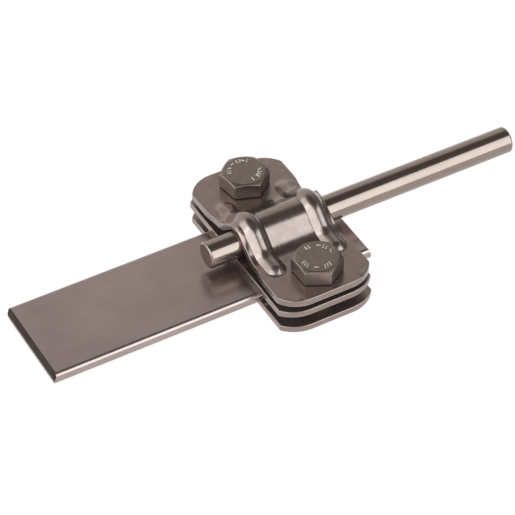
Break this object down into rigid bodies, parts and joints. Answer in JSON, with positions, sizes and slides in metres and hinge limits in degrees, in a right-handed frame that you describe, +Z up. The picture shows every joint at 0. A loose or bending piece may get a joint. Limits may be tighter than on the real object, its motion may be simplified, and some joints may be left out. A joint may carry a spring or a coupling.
{
  "type": "disconnecting clamp",
  "caption": "Disconnecting clamp of stacked stainless plates on hexagon bolts, joining a round conductor to a flat bar.",
  "frame": {"origin": "middle of the piece's box in X and Y, on the level of the bolt tips; the bolts stand at X = 1.2 mm", "axes": "+X along both conductors towards the rod's long end, +Y from the near bolt to the far bolt, +Z up along the bolts"},
  "size_m": [0.1578, 0.0602, 0.0237],
  "materials": {
    "plate_steel": "smooth mill finish",
    "pressed_steel": "tumbled bright",
    "bolt_steel": "dull cold forged",
    "rod_steel": "bright drawn",
    "bar_steel": "bright rolled"
  },
  "bodies": {
    "base": {"lower_threaded_plate": "plate_steel", "intermediate_plate": "plate_steel", "round_conductor": "rod_steel", "flat_conductor": "bar_steel"},
    "cover": {"upper_clamp_plate": "pressed_steel"},
    "near_bolt": {"near_bolt": "bolt_steel"},
    "far_bolt": {"far_bolt": "bolt_steel"}
  },
  "joints": [
    {"name": "plate_lift", "type": "slide", "parent": "base", "child": "cover", "axis": [0, 0, 1], "range_m": [0, 0.00375]},
    {"name": "near_bolt_turn", "type": "hinge", "parent": "cover", "child": "near_bolt", "pos_m": [0.0012, -0.021, 0.016], "axis": [0, 0, 1], "range_deg": [0, 1080]},
    {"name": "far_bolt_turn", "type": "hinge", "parent": "cover", "child": "far_bolt", "pos_m": [0.0012, 0.021, 0.016], "axis": [0, 0, 1], "range_deg": [0, 1080]}
  ],
  "couplings": [
    {"joint": "near_bolt_turn", "follows": "plate_lift", "rad_per_m": 5026.5},
    {"joint": "far_bolt_turn", "follows": "plate_lift", "rad_per_m": 5026.5}
  ]
}
